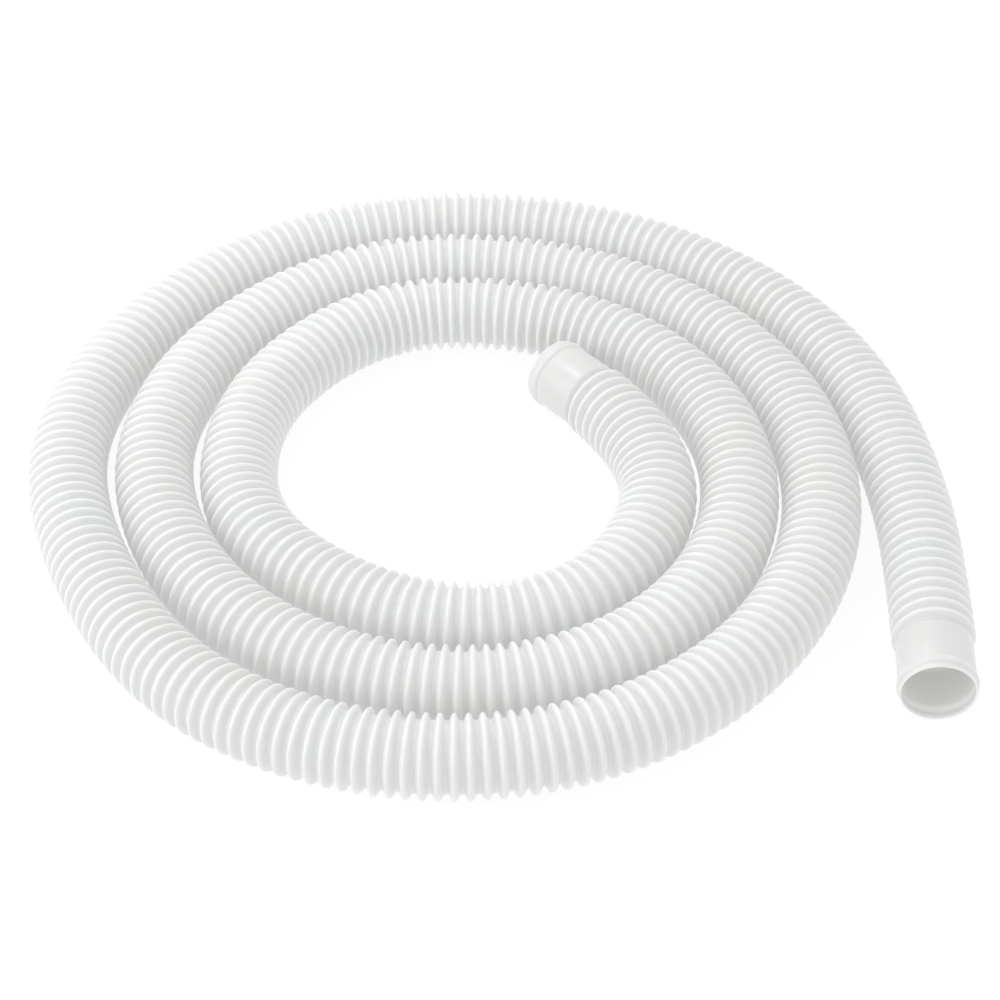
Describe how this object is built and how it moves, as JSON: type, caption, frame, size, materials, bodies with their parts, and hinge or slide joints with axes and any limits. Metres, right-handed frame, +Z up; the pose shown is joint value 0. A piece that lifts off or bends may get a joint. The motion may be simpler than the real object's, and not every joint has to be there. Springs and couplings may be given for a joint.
{
  "type": "pool vacuum hose",
  "caption": "Flexible ribbed plastic suction hose for a pool vacuum, lying in a flat coil, with a plain push-on cuff on each free end.",
  "frame": {"origin": "on the floor, under the middle of the coiled hose's box", "axes": "+Z up, square to the coil. The outer free end runs towards -Y on the +X side, and the hose turns inwards counter-clockwise seen from +Z"},
  "size_m": [0.4471, 0.4285, 0.038],
  "materials": {
    "hose_wall": "milky natural polyethylene with a soft shine",
    "cuff_wall": "milky natural polyethylene with a soft shine"
  },
  "bodies": {
    "coil": {"outer_turn": "hose_wall", "middle_turn": "hose_wall", "inner_turn": "hose_wall", "outer_neck_flex": "hose_wall", "inner_neck_flex": "hose_wall"},
    "outer_neck": {"outer_neck": "hose_wall", "outer_tail_flex": "hose_wall"},
    "outer_end": {"outer_tail": "hose_wall", "outer_cuff": "cuff_wall"},
    "inner_neck": {"inner_neck": "hose_wall", "inner_tail_flex": "hose_wall"},
    "inner_end": {"inner_tail": "hose_wall", "inner_cuff": "cuff_wall"}
  },
  "joints": [
    {"name": "outer_swing", "type": "hinge", "parent": "coil", "child": "outer_neck", "pos_m": [0.14709, 0.12371, 0.019], "axis": [0, 0, 1], "range_deg": [0, 25], "stiffness_Nm_per_rad": 0.6, "deforming": ["outer_neck_flex"]},
    {"name": "outer_lift", "type": "hinge", "parent": "outer_neck", "child": "outer_end", "pos_m": [0.20264, -0.01904, 0.019], "axis": [-0.9952, -0.0982, 0], "range_deg": [0, 25], "stiffness_Nm_per_rad": 0.6, "deforming": ["outer_tail_flex"]},
    {"name": "inner_swing", "type": "hinge", "parent": "coil", "child": "inner_neck", "pos_m": [-0.01034, -0.11432, 0.019], "axis": [0, 0, 1], "range_deg": [0, 12], "stiffness_Nm_per_rad": 0.6, "deforming": ["inner_neck_flex"]},
    {"name": "inner_lift", "type": "hinge", "parent": "inner_neck", "child": "inner_end", "pos_m": [0.08035, -0.04298, 0.019], "axis": [0.9682, -0.25, 0], "range_deg": [0, 20], "stiffness_Nm_per_rad": 0.6, "deforming": ["inner_tail_flex"]}
  ]
}
